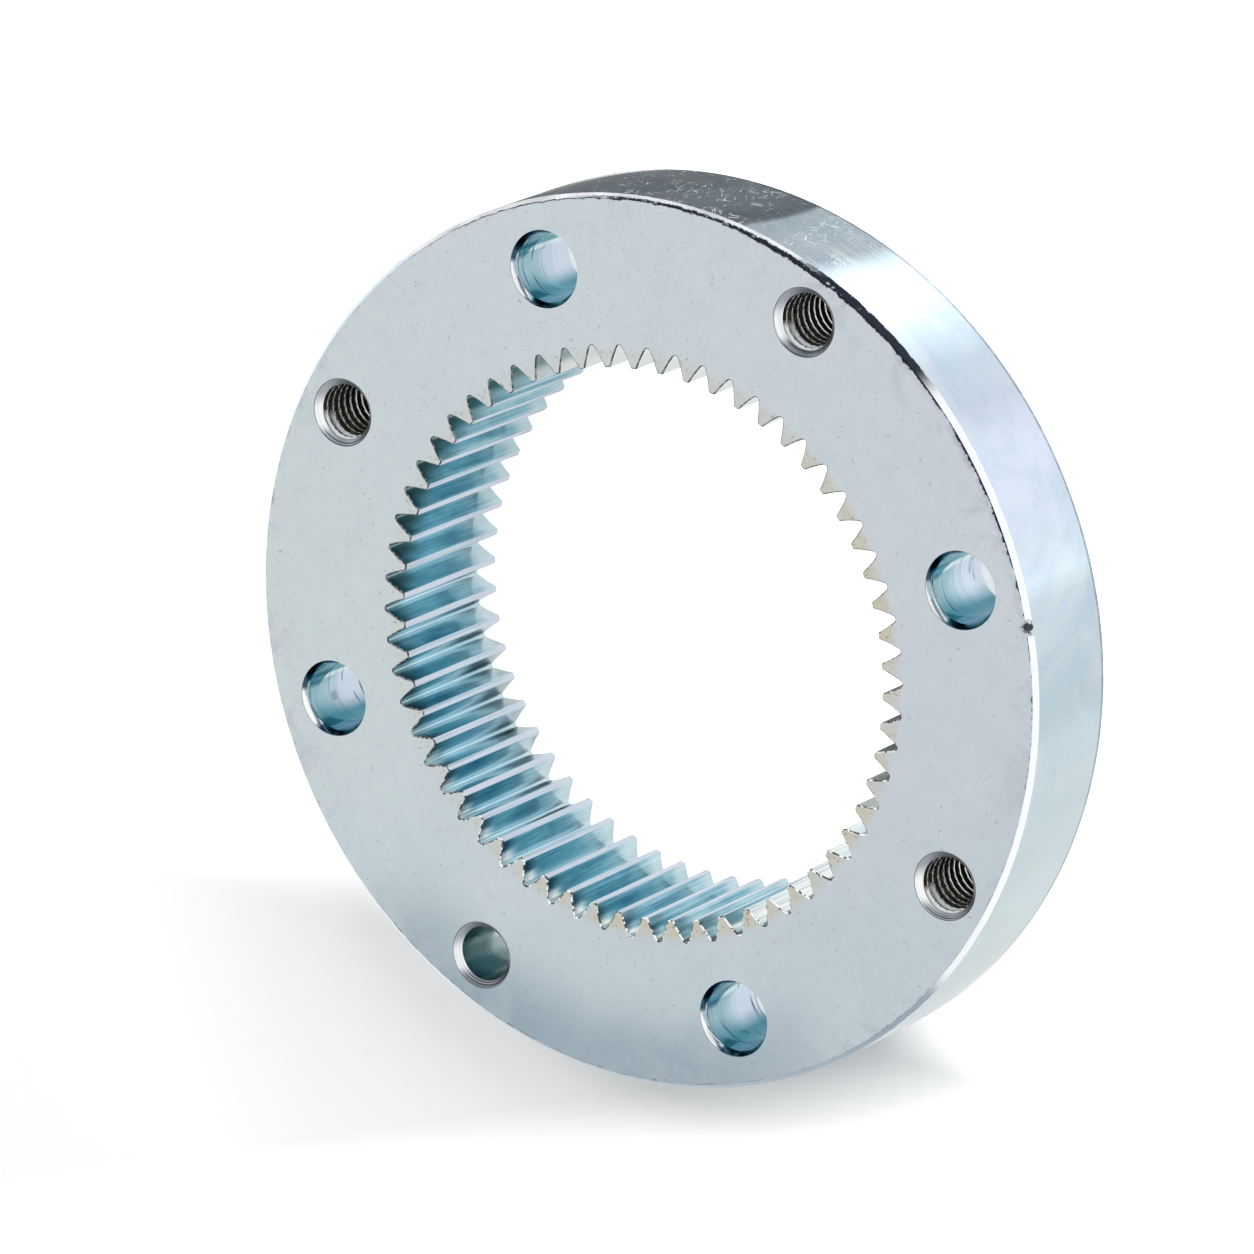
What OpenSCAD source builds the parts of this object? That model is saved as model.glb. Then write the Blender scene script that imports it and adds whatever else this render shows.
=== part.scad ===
// Splined flange: one turned, drilled and tapped steel ring with internal gear teeth.
// The ring's axis is +Z. The toothed boss behind the rim stands on z = 0 and the drilled face is up.

/* [Rim] */
// Width of the rim, from the roots of the teeth to its outer edge
rim_width = 22.625; // [20.5:0.125:45]
// Thickness of the rim, from its back to the drilled face
rim_thickness = 20; // [8:0.5:40]
// Chamfer on both outer edges of the rim
rim_chamfer = 0.7; // [0.2:0.1:2]

/* [Boss] */
// Height of the boss that carries the teeth past the back of the rim
boss_height = 5; // [2:0.5:20]
// Wall of the boss outside the tooth roots
boss_wall = 3.625; // [2:0.125:5.5]
// Chamfer on the free outer edge of the boss
boss_chamfer = 0.5; // [0.2:0.1:1.2]

/* [Teeth] */
// Number of internal teeth
tooth_count = 58; // [40:2:100]
// Module: the pitch diameter divided by the number of teeth
tooth_module = 1.5; // [1:0.05:2.5]
// Pressure angle of the involute flanks
pressure_angle = 25; // [20:0.5:27]
// Height of a tooth from the pitch circle to its tip, in modules
tip_modules = 1; // [0.7:0.05:1.1]
// Depth of a gap from the pitch circle to its rounded root, in modules
root_modules = 1.25; // [1:0.05:1.3]
// Play with the mating teeth, taken off each tooth's thickness at the pitch circle
tooth_play = 0.1; // [0:0.02:0.2]
// Radius of the rounds along both edges of a tooth's tip, in modules
tip_round_modules = 0.17; // [0.1:0.01:0.25]

/* [Bolt holes] */
// Number of plain bolt holes
bolt_hole_count = 4; // [2:1:8]
// Diameter of the plain bolt holes
bolt_hole_d = 10.5; // [6:0.1:12.5]
// Distance from the rim's outer edge to the centre of a bolt hole
bolt_hole_inset = 10.5; // [8:0.25:12]
// Width of the countersink round both mouths of a bolt hole
bolt_sink_width = 0.65; // [0.2:0.05:1]
// Full angle of the bolt holes' countersinks
bolt_sink_angle = 60; // [50:1:120]

/* [Tapped holes] */
// Drilled diameter of the holes between the bolt holes, three of them tapped
tap_drill_d = 8.5; // [5:0.1:9]
// Distance from the rim's outer edge to the centre of a tapped hole
tap_inset = 8; // [7:0.25:12]
// Width of the countersink round both mouths of a tapped hole
tap_sink_width = 1; // [0.3:0.1:1.5]
// Full angle of the tapped holes' countersinks
tap_sink_angle = 90; // [60:1:120]

/* [Hidden] */

steel_colour = [0.78, 0.82, 0.85];
turned_steps = 180;
drilled_steps = 64;
// How far a cut runs past the face it opens
cut_past = 1;
// Facets along one flank, round one root and round one edge of a tip
flank_steps = 5;
root_steps = 6;
tip_steps = 3;
// Halvings that find where a flank passes into the rounds at its two ends
join_halvings = 24;

ring_height = boss_height + rim_thickness;
pitch_r = tooth_module * tooth_count / 2;
base_r = pitch_r * cos(pressure_angle);
tip_r = pitch_r - tip_modules * tooth_module;
root_r = pitch_r + root_modules * tooth_module;
tip_round = tip_round_modules * tooth_module;
play_angle = tooth_play / 2 / pitch_r * 180 / PI;
boss_r = root_r + boss_wall;
rim_r = root_r + rim_width;
bolt_circle_r = rim_r - bolt_hole_inset;
tap_circle_r = rim_r - tap_inset;
tap_hole_count = bolt_hole_count;

// Involute function of an angle, in degrees
function involute(angle) = tan(angle) * 180 / PI - angle;

// Angle between the radius and the flank's normal at radius r
function flank_angle(r) = acos(base_r / r);

// Half of the gap's width at radius r, as an angle seen from the ring's axis
function half_gap(r) =
    90 / tooth_count + play_angle + involute(pressure_angle) - involute(flank_angle(r));

// Point of the flank at radius r, for a gap that opens along +Y
function flank_point(r) = [r * sin(half_gap(r)), r * cos(half_gap(r))];

// Slope of the flank against the gap's middle line at radius r
function flank_lean(r) = flank_angle(r) - half_gap(r);

// Centre height and radius of the circle on the middle line that touches both flanks at radius r
function root_circle(r) = [
    flank_point(r).y - flank_point(r).x * tan(flank_lean(r)),
    flank_point(r).x / cos(flank_lean(r))
];

function root_reach(r) = root_circle(r)[0] + root_circle(r)[1];

// Radius at which the flanks pass into the round that just touches the root circle
function root_join_r(low, high, halvings) =
    let (middle = (low + high) / 2)
    halvings < 1 ? middle
    : root_reach(middle) < root_r ? root_join_r(middle, high, halvings - 1)
    : root_join_r(low, middle, halvings - 1);

// Centre of the tip round that touches the flank at radius r
function tip_centre(r) = flank_point(r) + tip_round * [cos(flank_lean(r)), sin(flank_lean(r))];

// Radius at which the flank passes into the tip round that just touches the tip circle
function tip_join_r(low, high, halvings) =
    let (middle = (low + high) / 2)
    halvings < 1 ? middle
    : norm(tip_centre(middle)) < tip_r + tip_round ? tip_join_r(middle, high, halvings - 1)
    : tip_join_r(low, middle, halvings - 1);

// Outline of one gap between two teeth: tip round, flank, rounded root and their mirror image
module gap_outline() {
    start_r = tip_join_r(tip_r, pitch_r, join_halvings);
    end_r = root_join_r(tip_r, root_r, join_halvings);
    round_middle = root_circle(end_r)[0];
    round_r = root_circle(end_r)[1];
    round_from = flank_lean(end_r);
    tip_middle = tip_centre(start_r);
    tip_from = atan2(-tip_middle.y, -tip_middle.x);
    tip_to = flank_lean(start_r) - 180;
    tip_arc = [
        for (i = [0 : tip_steps - 1])
            let (turn = tip_from + (tip_to - tip_from) * i / tip_steps)
            tip_middle + tip_round * [cos(turn), sin(turn)]
    ];
    // The first facet of the tip round runs on into the bore, so that it crosses the tip circle
    past_tip = 2 * tip_arc[0] - tip_arc[1];
    in_bore = past_tip * (tip_r - cut_past) / tip_r;
    tip_edge = concat([in_bore, past_tip], [for (i = [1 : tip_steps - 1]) tip_arc[i]]);
    flank = [
        for (i = [0 : flank_steps]) flank_point(start_r + (end_r - start_r) * i / flank_steps)
    ];
    right_side = concat(tip_edge, flank);
    root_round = [
        for (i = [1 : root_steps - 1])
            let (turn = round_from + (180 - 2 * round_from) * i / root_steps)
            [round_r * cos(turn), round_middle + round_r * sin(turn)]
    ];
    left_side = [for (i = [len(right_side) - 1 : -1 : 0]) [-right_side[i].x, right_side[i].y]];
    polygon(concat(right_side, root_round, left_side));
}

// All gaps between the teeth, with one gap on the line of the bolt hole at +Y
module tooth_gaps() {
    for (i = [0 : tooth_count - 1])
        rotate([0, 0, i * 360 / tooth_count])
            translate([0, 0, -cut_past])
                linear_extrude(height = ring_height + 2 * cut_past)
                    gap_outline();
}

// The turned blank: rim, boss and bore to the tooth tips
module turned_blank() {
    rotate_extrude($fn = turned_steps)
        polygon([
            [tip_r, 0],
            [boss_r - boss_chamfer, 0],
            [boss_r, boss_chamfer],
            [boss_r, boss_height],
            [rim_r - rim_chamfer, boss_height],
            [rim_r, boss_height + rim_chamfer],
            [rim_r, ring_height - rim_chamfer],
            [rim_r - rim_chamfer, ring_height],
            [tip_r, ring_height]
        ]);
}

// One hole through the rim, with a countersink of the given width and full angle at both mouths
module rim_hole(hole_d, sink_width, sink_angle) {
    sink = sink_width / tan(sink_angle / 2);
    past_d = hole_d + 2 * sink_width + 2 * cut_past * tan(sink_angle / 2);
    translate([0, 0, boss_height - cut_past])
        cylinder(d = hole_d, h = rim_thickness + 2 * cut_past, $fn = drilled_steps);
    translate([0, 0, ring_height - sink])
        cylinder(d1 = hole_d, d2 = past_d, h = sink + cut_past, $fn = drilled_steps);
    translate([0, 0, boss_height - cut_past])
        cylinder(d1 = past_d, d2 = hole_d, h = sink + cut_past, $fn = drilled_steps);
}

// Plain bolt holes, the first on +X
module bolt_holes() {
    for (i = [0 : bolt_hole_count - 1])
        rotate([0, 0, i * 360 / bolt_hole_count])
            translate([bolt_circle_r, 0, 0])
                rim_hole(bolt_hole_d, bolt_sink_width, bolt_sink_angle);
}

// Tapped holes at their drilled size, halfway between the bolt holes
module tapped_holes() {
    for (i = [0 : tap_hole_count - 1])
        rotate([0, 0, (i + 0.5) * 360 / tap_hole_count])
            translate([tap_circle_r, 0, 0])
                rim_hole(tap_drill_d, tap_sink_width, tap_sink_angle);
}

module flange_ring() {
    color(steel_colour)
        difference() {
            turned_blank();
            tooth_gaps();
            bolt_holes();
            tapped_holes();
        }
}

flange_ring();
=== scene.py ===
import math

import bmesh
import bpy
import numpy as np
from mathutils import Matrix, Vector
from mathutils.geometry import delaunay_2d_cdt


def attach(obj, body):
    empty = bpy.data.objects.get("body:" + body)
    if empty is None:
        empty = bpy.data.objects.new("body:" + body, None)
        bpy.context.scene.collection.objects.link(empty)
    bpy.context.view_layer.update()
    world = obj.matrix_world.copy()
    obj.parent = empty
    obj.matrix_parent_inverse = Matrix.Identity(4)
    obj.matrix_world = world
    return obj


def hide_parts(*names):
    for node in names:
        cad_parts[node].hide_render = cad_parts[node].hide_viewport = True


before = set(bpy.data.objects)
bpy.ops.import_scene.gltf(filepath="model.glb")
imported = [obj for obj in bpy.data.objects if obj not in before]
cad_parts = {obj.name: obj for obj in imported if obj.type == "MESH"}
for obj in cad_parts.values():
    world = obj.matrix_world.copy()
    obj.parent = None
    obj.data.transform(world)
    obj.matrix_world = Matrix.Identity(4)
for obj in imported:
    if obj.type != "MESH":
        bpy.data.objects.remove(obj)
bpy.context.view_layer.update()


# The ring's blank: a steel disc with a rim and a toothed boss behind it.
# It is turned on a lathe in one clamping, and its edges are broken with a small chamfer.
MM = 0.001
ring_height = 25.0
rim_back = 5.0
rim_radius = 68.0
rim_chamfer = 0.7
boss_radius = 49.0
boss_chamfer = 0.5
edge_round = 0.1
lathe_steps = 360

corners = []
patches = []


def add_loop(points):
    """Adds a closed row of corners, in millimetres, and gives back their numbers."""
    first = len(corners)
    corners.extend(tuple(p) for p in points)
    return list(range(first, first + len(points)))


def add_band(upper, lower, finish):
    """Joins two closed rows of the same count with four-sided faces."""
    count = len(upper)
    for i in range(count):
        j = (i + 1) % count
        patches.append(((upper[i], lower[i], lower[j], upper[j]), finish))


def turned_loop(radius, z, steps, cx=0.0, cy=0.0):
    """One round row of corners about an upright axis."""
    turn = 2 * math.pi / steps
    return [(cx + radius * math.cos(i * turn), cy + radius * math.sin(i * turn), z) for i in range(steps)]


def eased(profile, round_size):
    """The same profile with each inner corner cut back to three short facets."""
    out = [profile[0]]
    for before, here, after in zip(profile, profile[1:], profile[2:]):
        back = Vector(before) - Vector(here)
        ahead = Vector(after) - Vector(here)
        start = Vector(here) + back.normalized() * round_size
        end = Vector(here) + ahead.normalized() * round_size
        for t in (0.0, 1 / 3, 2 / 3, 1.0):
            p = start * (1 - t) ** 2 + Vector(here) * 2 * t * (1 - t) + end * t * t
            out.append((p.x, p.y))
    out.append(profile[-1])
    return out


def turned_wall(profile, steps, finish, cx=0.0, cy=0.0):
    """A wall of revolution through a profile of (radius, z). Gives back its first and last rows."""
    rows = [add_loop(turned_loop(r, z, steps, cx, cy)) for r, z in profile]
    for upper, lower in zip(rows, rows[1:]):
        add_band(upper, lower, finish)
    return rows[0], rows[-1]


rim_profile = [
    (rim_radius - rim_chamfer, ring_height),
    (rim_radius, ring_height - rim_chamfer),
    (rim_radius, rim_back + rim_chamfer),
    (rim_radius - rim_chamfer, rim_back),
]
boss_profile = [
    (boss_radius, rim_back),
    (boss_radius, boss_chamfer),
    (boss_radius - boss_chamfer, 0.0),
]
face_edge, step_edge = turned_wall(eased(rim_profile, edge_round), lathe_steps, "rim")
step_root, boss_edge = turned_wall(eased(boss_profile, edge_round), lathe_steps, "boss")


# The internal teeth: 58 involute spur teeth of module 1.5, cut along the whole bore with a shaped cutter.
# Each gap ends in a full round, and the cutter leaves fine lines along the flanks.
tooth_count = 58
tooth_module = 1.5
pressure_angle = math.radians(25)
tooth_play = 0.1
tip_round = 0.17 * tooth_module
flank_points = 8
root_points = 8
tip_points = 5
halvings = 30
tooth_end_break = 0.18

pitch_radius = tooth_module * tooth_count / 2
base_radius = pitch_radius * math.cos(pressure_angle)
tip_radius = pitch_radius - tooth_module
root_radius = pitch_radius + 1.25 * tooth_module


def involute(angle):
    return math.tan(angle) - angle


def half_gap(radius):
    """Half of the gap's width at a radius, as an angle seen from the ring's axis."""
    flank = math.acos(base_radius / radius)
    play = tooth_play / 2 / pitch_radius
    return math.pi / 2 / tooth_count + play + involute(pressure_angle) - involute(flank)


def flank_point(radius):
    return radius * math.sin(half_gap(radius)), radius * math.cos(half_gap(radius))


def flank_lean(radius):
    return math.acos(base_radius / radius) - half_gap(radius)


def root_circle(radius):
    """Height and radius of the round that touches both flanks at this radius."""
    lean = flank_lean(radius)
    x, y = flank_point(radius)
    return y - x * math.tan(lean), x / math.cos(lean)


def tip_centre(radius):
    """Centre of the tip round that touches the flank at this radius."""
    lean = flank_lean(radius)
    x, y = flank_point(radius)
    return x + tip_round * math.cos(lean), y + tip_round * math.sin(lean)


def found_by_halving(low, high, too_low):
    """The radius between low and high up to which too_low holds."""
    for _ in range(halvings):
        middle = (low + high) / 2
        if too_low(middle):
            low = middle
        else:
            high = middle
    return (low + high) / 2


join_radius = found_by_halving(tip_radius, root_radius, lambda r: sum(root_circle(r)) < root_radius)
root_middle, root_round = root_circle(join_radius)
root_lean = flank_lean(join_radius)
round_reach = tip_radius + tip_round
start_radius = found_by_halving(tip_radius, pitch_radius, lambda r: math.hypot(*tip_centre(r)) < round_reach)
tip_x, tip_y = tip_centre(start_radius)
tip_from = math.atan2(-tip_y, -tip_x)
tip_to = flank_lean(start_radius) - math.pi

right_side = []
for i in range(tip_points):
    turn = tip_from + (tip_to - tip_from) * i / tip_points
    right_side.append((tip_x + tip_round * math.cos(turn), tip_y + tip_round * math.sin(turn)))
for i in range(flank_points + 1):
    right_side.append(flank_point(start_radius + (join_radius - start_radius) * i / flank_points))
root_arc = []
for i in range(1, root_points):
    turn = root_lean + (math.pi - 2 * root_lean) * i / root_points
    root_arc.append((root_round * math.cos(turn), root_middle + root_round * math.sin(turn)))
one_gap = right_side + root_arc + [(-x, y) for x, y in reversed(right_side)]
half_pitch = math.pi / tooth_count
one_gap.append((-tip_radius * math.sin(half_pitch), tip_radius * math.cos(half_pitch)))

outline = []
for tooth in range(tooth_count):
    turn = 2 * math.pi * tooth / tooth_count
    for x, y in one_gap:
        outline.append((x * math.cos(turn) - y * math.sin(turn), x * math.sin(turn) + y * math.cos(turn)))


def grown(points, amount):
    """The tooth outline moved into the steel by the same amount everywhere."""
    p = np.array(points)
    along = np.roll(p, -1, 0) - p
    along /= np.linalg.norm(along, axis=1)[:, None]
    side = np.stack([along[:, 1], -along[:, 0]], 1)
    mean = side + np.roll(side, 1, 0)
    mean /= np.linalg.norm(mean, axis=1)[:, None]
    stretch = np.clip((mean * side).sum(1), 0.6, 1)
    return (p + mean * (amount / stretch)[:, None]).tolist()


# Each broken end goes down and out by these shares of tooth_end_break
end_steps = [(0.0, 1.0), (0.3, 0.3), (1.0, 0.0)]
levels = [(ring_height - tooth_end_break * down, tooth_end_break * out) for down, out in end_steps]
levels += [(tooth_end_break * down, tooth_end_break * out) for down, out in reversed(end_steps)]
tooth_rows = []
for z, amount in levels:
    tooth_rows.append(add_loop([(x, y, z) for x, y in grown(outline, amount)]))
for upper, lower in zip(tooth_rows, tooth_rows[1:]):
    add_band(lower, upper, "teeth")


# The four bolt holes: drilled right through the rim and countersunk steeply on both sides.
# The drill leaves a few rings in the bore.
bolt_circle = 57.5
bolt_hole_radius = 5.25
bolt_sink_width = 0.65
bolt_sink_half_angle = math.radians(30)
bolt_sink_depth = bolt_sink_width / math.tan(bolt_sink_half_angle)
hole_steps = 72

face_mouths = []
step_mouths = []


def at_angle(radius, degrees):
    """The point at a radius and a direction round the ring's axis."""
    return radius * math.cos(math.radians(degrees)), radius * math.sin(math.radians(degrees))


def drilled_wall(profile, finish, cx, cy):
    """The wall of a hole, from the mouth in the drilled face down to the mouth in the rim's back."""
    top, bottom = turned_wall(profile, hole_steps, finish, cx, cy)
    face_mouths.append(top)
    step_mouths.append(bottom)


bolt_profile = [
    (bolt_hole_radius + bolt_sink_width, ring_height),
    (bolt_hole_radius, ring_height - bolt_sink_depth),
    (bolt_hole_radius, rim_back + bolt_sink_depth),
    (bolt_hole_radius + bolt_sink_width, rim_back),
]
for degrees in (0, 90, 180, 270):
    cx, cy = at_angle(bolt_circle, degrees)
    drilled_wall(eased(bolt_profile, edge_round), "bore", cx, cy)


# The four holes between the bolt holes: drilled 8.3 mm and countersunk to 10.5 mm on both sides.
# Three are cut with an M10 x 1.5 tap, whose grooves have sharp flanks. The fourth is left plain.
tap_circle = 60.0
# How far each of these holes stands from the ring's two axes, in metres
tap_place = tap_circle * MM * math.cos(math.radians(45))
drill_radius = 4.15
thread_radius = 5.0
thread_pitch = 1.5
thread_half_angle = math.radians(30)
sink_width = 1.1
thread_rows_per_pitch = 22
thread_start = 0.35
run_out_from = 0.9
run_out_length = 0.5

groove_run = (thread_radius - drill_radius) * math.tan(thread_half_angle)
groove_floor = thread_pitch / 8


def groove_radius(travel):
    """Radius of the thread's profile at a travel along the axis. It repeats after each pitch."""
    off = abs((travel / thread_pitch) % 1.0 - 0.5) * thread_pitch
    rise = 1 - (off - groove_floor / 2) / groove_run
    return drill_radius + (thread_radius - drill_radius) * min(1.0, max(0.0, rise))


def tapped_radius(z, turns):
    """Radius of the wall at a height and a part of a turn. The grooves run out towards both mouths."""
    from_mouth = min(ring_height - z, z - rim_back)
    share = min(1.0, max(0.0, (from_mouth - run_out_from) / run_out_length))
    cut = groove_radius(z + thread_start - thread_pitch * turns) - drill_radius
    return max(drill_radius + cut * share, drill_radius + sink_width - from_mouth)


rows = round((ring_height - rim_back) / thread_pitch * thread_rows_per_pitch)
heights = [ring_height - (ring_height - rim_back) * i / rows for i in range(rows + 1)]
for degrees in (45, 135, 315):
    cx, cy = at_angle(tap_circle, degrees)
    loops = []
    for z in heights:
        ring = []
        for i in range(hole_steps):
            turn = 2 * math.pi * i / hole_steps
            radius = tapped_radius(z, i / hole_steps)
            ring.append((cx + radius * math.cos(turn), cy + radius * math.sin(turn), z))
        loops.append(add_loop(ring))
    for upper, lower in zip(loops, loops[1:]):
        add_band(upper, lower, "thread")
    face_mouths.append(loops[0])
    step_mouths.append(loops[-1])

plain_profile = [
    (drill_radius + sink_width, ring_height),
    (drill_radius, ring_height - sink_width),
    (drill_radius, rim_back + sink_width),
    (drill_radius + sink_width, rim_back),
]
cx, cy = at_angle(tap_circle, 225)
drilled_wall(eased(plain_profile, edge_round), "plain bore", cx, cy)


# The flat faces: the drilled face in front, the back of the rim, and the end of the boss.
# They are faced on the lathe, and each runs up to the mouths of its holes and to the tooth ends.
def flat_face(outer, inner_loops, finish, upward):
    """Fills a flat face between its outer edge and the edges of its openings."""
    loops = [outer] + inner_loops
    numbers = sum(loops, [])
    points = [Vector(corners[n][:2]) for n in numbers]
    edges = []
    start = 0
    for loop in loops:
        count = len(loop)
        edges.extend((start + i, start + (i + 1) % count) for i in range(count))
        start += count
    found, _, triangles, source, _, _ = delaunay_2d_cdt(points, edges, [], 0, 1e-7)
    edge_sets = [np.array([corners[n][:2] for n in loop]) for loop in loops]

    def inside(loop, p):
        a = loop
        b = np.roll(loop, -1, 0)
        crosses = (a[:, 1] > p[1]) != (b[:, 1] > p[1])
        with np.errstate(divide="ignore", invalid="ignore"):
            at = a[:, 0] + (p[1] - a[:, 1]) * (b[:, 0] - a[:, 0]) / (b[:, 1] - a[:, 1])
        return np.count_nonzero(crosses & (p[0] < at)) % 2 == 1

    for triangle in triangles:
        middle = (found[triangle[0]] + found[triangle[1]] + found[triangle[2]]) / 3
        if not inside(edge_sets[0], middle) or any(inside(loop, middle) for loop in edge_sets[1:]):
            continue
        face = [numbers[source[v][0]] for v in triangle]
        patches.append((tuple(face if upward else reversed(face)), finish))


flat_face(face_edge, [tooth_rows[0]] + face_mouths, "face", True)
flat_face(step_edge, [step_root] + step_mouths, "back", False)
flat_face(boss_edge, [tooth_rows[-1]], "back", False)


# Zinc plating: the whole ring is plated with bright zinc and passivated clear blue.
# The film is cloudy on the faced surfaces and glossy on the turned and cut ones.
class Paint:
    """Places the nodes of one finish. Sizes in the nodes are in metres of the ring's own frame."""

    def __init__(self, name):
        self.material = bpy.data.materials.new(name)
        self.material.use_nodes = True
        self.tree = self.material.node_tree
        self.tree.nodes.clear()
        self.place = self.add("ShaderNodeTexCoord").outputs["Object"]
        parts = self.add("ShaderNodeSeparateXYZ")
        self.feed(parts.inputs[0], self.place)
        self.x, self.y, self.z = parts.outputs
        self.reach = self.length(self.x, self.y)

    def add(self, kind, **settings):
        node = self.tree.nodes.new(kind)
        for key, value in settings.items():
            setattr(node, key, value)
        return node

    def feed(self, socket, value):
        if isinstance(value, bpy.types.NodeSocket):
            self.tree.links.new(value, socket)
        elif isinstance(value, (tuple, list)) and len(value) == 3 and socket.type == "RGBA":
            socket.default_value = (*value, 1.0)
        else:
            socket.default_value = value

    def math(self, operation, *values):
        node = self.add("ShaderNodeMath", operation=operation)
        for socket, value in zip(node.inputs, values):
            self.feed(socket, value)
        return node.outputs[0]

    def both(self, a, b):
        """Two shares at once: their product."""
        return self.math("MULTIPLY", a, b)

    def either(self, a, b):
        """The larger of two shares."""
        return self.math("MAXIMUM", a, b)

    def linear(self, value, times, plus):
        """The value times one number, plus another."""
        return self.math("MULTIPLY_ADD", value, times, plus)

    def without(self, share):
        """What a share leaves of the whole."""
        return self.math("SUBTRACT", 1.0, share)

    def length(self, a, b):
        return self.math("SQRT", self.math("ADD", self.both(a, a), self.both(b, b)))

    def stretched(self, size, turn):
        """The place turned first and stretched after, so that a noise has this size along the turned axes."""
        node = self.add("ShaderNodeMapping", vector_type="TEXTURE")
        self.feed(node.inputs["Vector"], self.place)
        node.inputs["Rotation"].default_value = turn
        node.inputs["Scale"].default_value = size
        return node.outputs["Vector"]

    def squeezed(self, along_x, along_y, along_z):
        """The place with each axis multiplied, so that a noise of scale 1 is finer along the larger ones."""
        node = self.add("ShaderNodeMapping")
        self.feed(node.inputs["Vector"], self.place)
        node.inputs["Scale"].default_value = (along_x, along_y, along_z)
        return node.outputs["Vector"]

    def noise(self, vector, scale, detail=3.0, roughness=0.5, distortion=0.0):
        node = self.add("ShaderNodeTexNoise")
        self.feed(node.inputs["Vector"], vector)
        node.inputs["Scale"].default_value = scale
        node.inputs["Detail"].default_value = detail
        node.inputs["Roughness"].default_value = roughness
        node.inputs["Distortion"].default_value = distortion
        return node.outputs["Fac"]

    def span(self, value, low, high, to_low=0.0, to_high=1.0, smooth=False):
        """The value taken from low and high to to_low and to_high, and held there beyond them."""
        node = self.add("ShaderNodeMapRange", interpolation_type="SMOOTHSTEP" if smooth else "LINEAR")
        self.feed(node.inputs["Value"], value)
        node.inputs["From Min"].default_value = low
        node.inputs["From Max"].default_value = high
        node.inputs["To Min"].default_value = to_low
        node.inputs["To Max"].default_value = to_high
        return node.outputs["Result"]

    def soft(self, value, low, high, to_low=0.0, to_high=1.0):
        """The same as span, with soft ends."""
        return self.span(value, low, high, to_low, to_high, True)

    def sector(self, middle, half, soft):
        """1 within half degrees of a direction round the ring's axis, fading to 0 over soft degrees."""
        turn = math.radians(middle)
        along = self.math("ADD", self.both(self.x, math.cos(turn)), self.both(self.y, math.sin(turn)))
        near = self.math("DIVIDE", along, self.reach)
        return self.soft(near, math.cos(math.radians(half + soft)), math.cos(math.radians(half)))

    def blend(self, share, a, b):
        node = self.add("ShaderNodeMix", data_type="RGBA")
        self.feed(node.inputs["Factor"], share)
        self.feed(node.inputs["A"], a)
        self.feed(node.inputs["B"], b)
        return node.outputs["Result"]

    def over(self, colour, new, share, strength=1.0):
        """A new colour laid over the old one, where its share says and at the given strength."""
        if strength != 1.0:
            share = self.both(share, strength)
        return self.blend(share, colour, new)

    def hairs(self, size, width, spread):
        """Thin curved scratches in loose groups, as a share from 0 to 1."""
        field = self.noise(self.place, size, 2.0, 0.5, 1.2)
        ridge = self.span(self.math("ABSOLUTE", self.math("SUBTRACT", field, 0.5)), width, width * 0.3)
        groups = self.span(self.noise(self.place, size * 3.1, 1.0, 0.5), spread, spread + 0.05)
        return self.both(ridge, groups)

    def streaks(self, turns, length, width, low, high):
        """Fine straight scratches, one set for each of the given turns, as a share from 0 to 1."""
        total = None
        for turn in turns:
            field = self.noise(self.stretched((length, width, length), turn), 1.0, 1.0, 0.4)
            line = self.span(field, low, high)
            total = line if total is None else self.either(total, line)
        return total

    def from_spot(self, degrees, radius):
        """Distance from a spot on the drilled face's edge, with a ragged outline."""
        spot_x, spot_y = at_angle(radius, degrees)
        off = self.length(self.math("SUBTRACT", self.x, spot_x), self.math("SUBTRACT", self.y, spot_y))
        return self.math("ADD", off, self.linear(self.noise(self.place, 1300.0, 4.0, 0.75), 0.0030, -0.0015))

    def finish(self, colour, roughness, height, depth, metallic=1.0):
        shader = self.add("ShaderNodeBsdfPrincipled")
        shader.inputs["Specular IOR Level"].default_value = 0.1
        self.feed(shader.inputs["Metallic"], metallic)
        self.feed(shader.inputs["Base Color"], colour)
        self.feed(shader.inputs["Roughness"], roughness)
        bump = self.add("ShaderNodeBump")
        bump.inputs["Strength"].default_value = 1.0
        bump.inputs["Distance"].default_value = depth
        self.feed(bump.inputs["Height"], height)
        self.feed(shader.inputs["Normal"], bump.outputs["Normal"])
        out = self.add("ShaderNodeOutputMaterial")
        self.feed(out.inputs["Surface"], shader.outputs[0])
        return self.material


# Heights and radii that the finishes share, in metres, and the dark spot's direction
front = ring_height * MM
back = rim_back * MM
face_rim = (rim_radius - rim_chamfer) * MM
tooth_tip = tip_radius * MM
edge_dark_colour = (0.014, 0.018, 0.030)
spot_degrees = -6.0


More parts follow.
